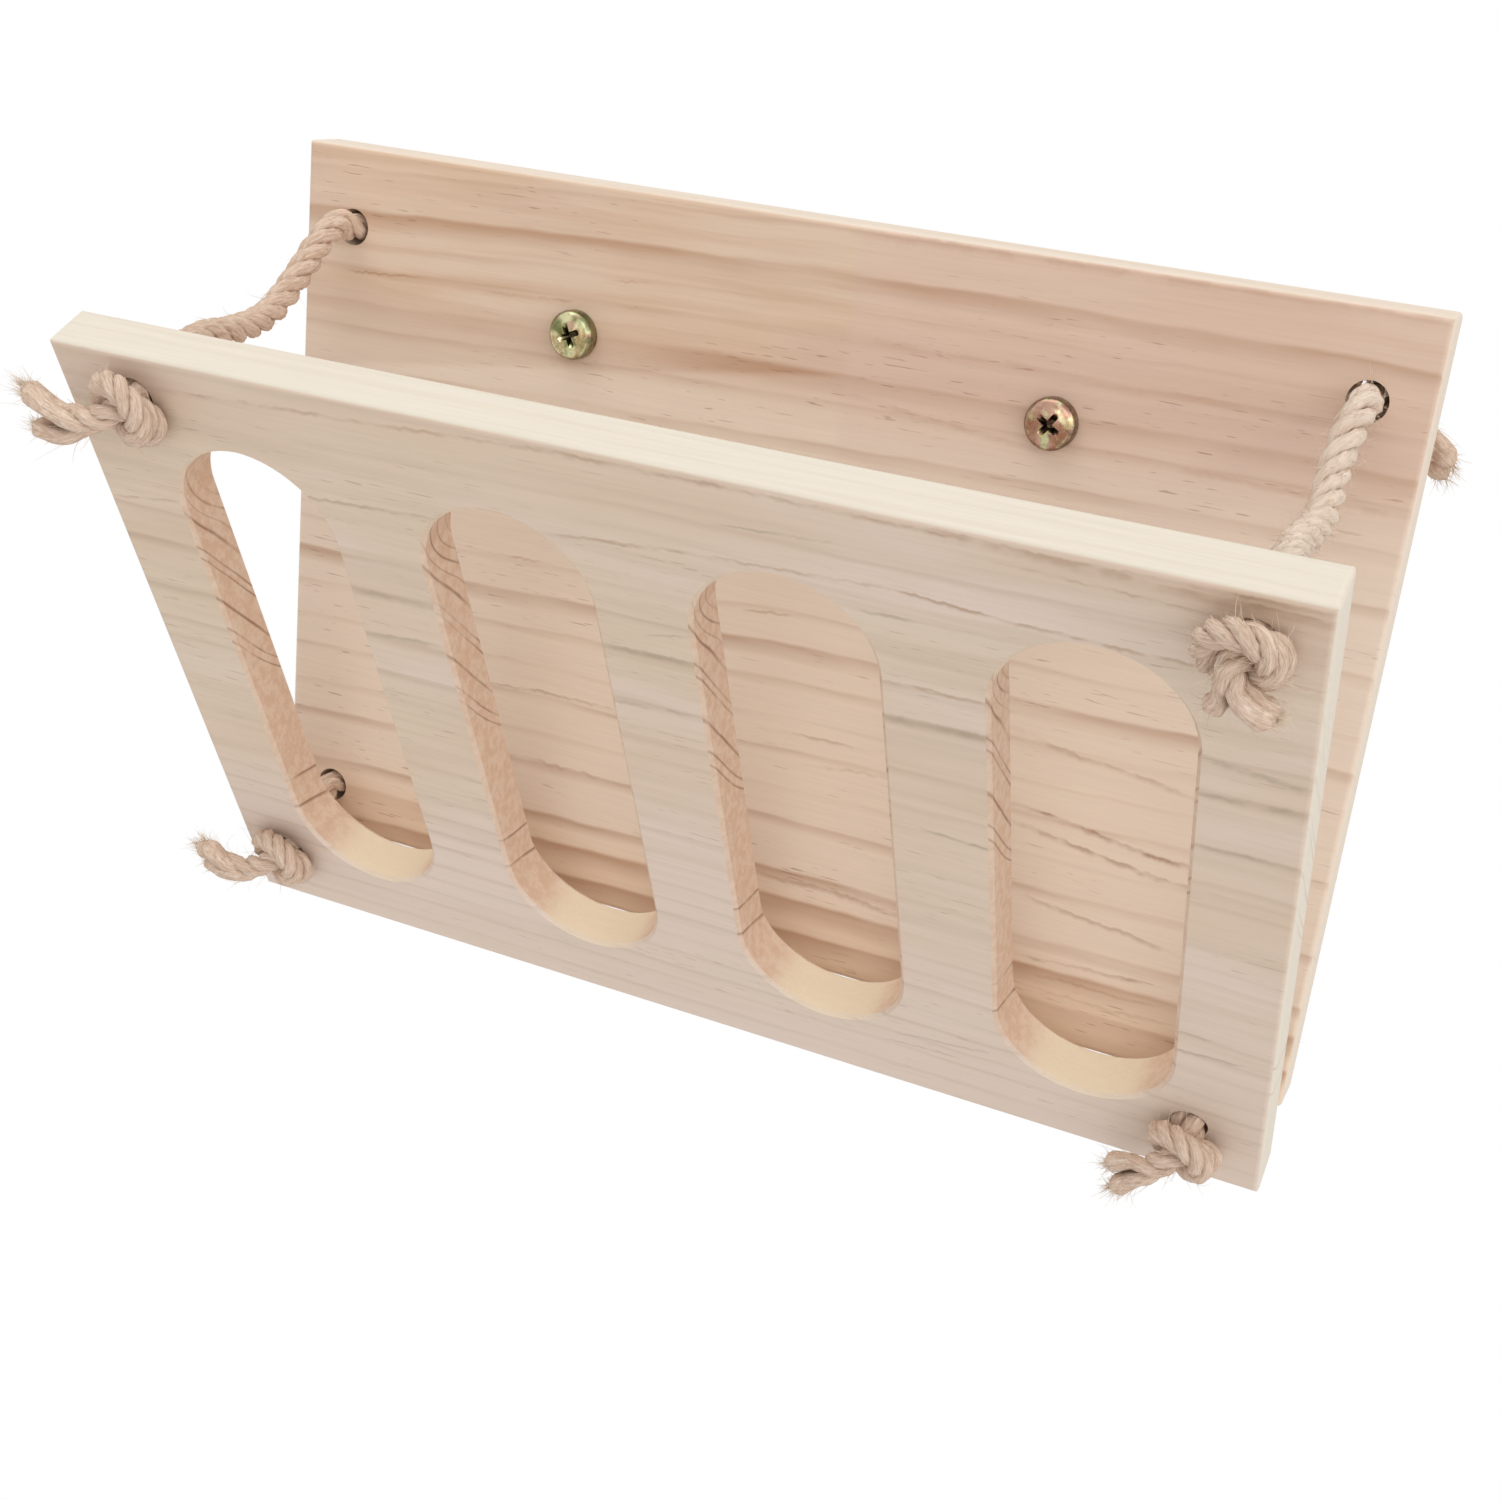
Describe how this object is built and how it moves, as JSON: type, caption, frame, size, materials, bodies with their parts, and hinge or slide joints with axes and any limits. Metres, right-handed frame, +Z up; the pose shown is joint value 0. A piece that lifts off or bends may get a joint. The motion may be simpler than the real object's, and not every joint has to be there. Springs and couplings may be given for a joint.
{
  "type": "hay rack",
  "caption": "Wooden hay rack for a small-pet cage: a slotted front board leans out from a back board on knotted rope; screws with washers and wing nuts clamp it to cage wires.",
  "frame": {"origin": "midway between the two fixing screws, on the rear face of the back board", "axes": "+X to the right seen from the front, +Z up, -Y towards the viewer; +Y goes along the screws into the cage wall"},
  "size_m": [0.2625, 0.1243, 0.1813],
  "materials": {
    "back_board": "planed and sanded pine, unvarnished, matt",
    "front_board": "planed and sanded pale pine, unvarnished, matt",
    "screws": "yellow zinc plated",
    "washers": "yellow zinc plated",
    "wing_nuts": "yellow zinc plated",
    "rope": "three-strand jute rope, rough and hairy",
    "knots": "three-strand jute rope, rough and hairy, with frayed ends"
  },
  "bodies": {
    "fixed_frame": {"back_board": "back_board", "left_screw": "screws", "right_screw": "screws", "top_left_back_knot": "knots", "top_right_back_knot": "knots", "bottom_left_back_knot": "knots", "bottom_right_back_knot": "knots", "top_left_rope": "rope", "top_right_rope": "rope", "bottom_left_rope": "rope", "bottom_right_rope": "rope"},
    "swinging_front": {"front_board": "front_board", "top_left_front_knot": "knots", "top_right_front_knot": "knots", "bottom_left_front_knot": "knots", "bottom_right_front_knot": "knots"},
    "left_washer": {"left_washer": "washers"},
    "right_washer": {"right_washer": "washers"},
    "left_wing_nut": {"left_wing_nut": "wing_nuts"},
    "right_wing_nut": {"right_wing_nut": "wing_nuts"}
  },
  "joints": [
    {"name": "front_board_swing", "type": "hinge", "parent": "fixed_frame", "child": "swinging_front", "pos_m": [0, -0.015, -0.124], "axis": [-1, 0, 0], "range_deg": [0, 29], "deforming": ["top_left_rope", "top_right_rope", "bottom_left_rope", "bottom_right_rope"]},
    {"name": "left_washer_travel", "type": "slide", "parent": "fixed_frame", "child": "left_washer", "axis": [0, 1, 0], "range_m": [0, 0.008]},
    {"name": "left_nut_turn", "type": "hinge", "parent": "left_washer", "child": "left_wing_nut", "pos_m": [-0.054, 0, 0], "axis": [0, 1, 0], "range_deg": [0, 3600]},
    {"name": "right_washer_travel", "type": "slide", "parent": "fixed_frame", "child": "right_washer", "axis": [0, 1, 0], "range_m": [0, 0.008]},
    {"name": "right_nut_turn", "type": "hinge", "parent": "right_washer", "child": "right_wing_nut", "pos_m": [0.054, 0, 0], "axis": [0, 1, 0], "range_deg": [0, 3600]}
  ],
  "couplings": [
    {"joint": "left_washer_travel", "follows": "left_nut_turn", "m_per_rad": 0.00012732},
    {"joint": "right_washer_travel", "follows": "right_nut_turn", "m_per_rad": 0.00012732}
  ]
}
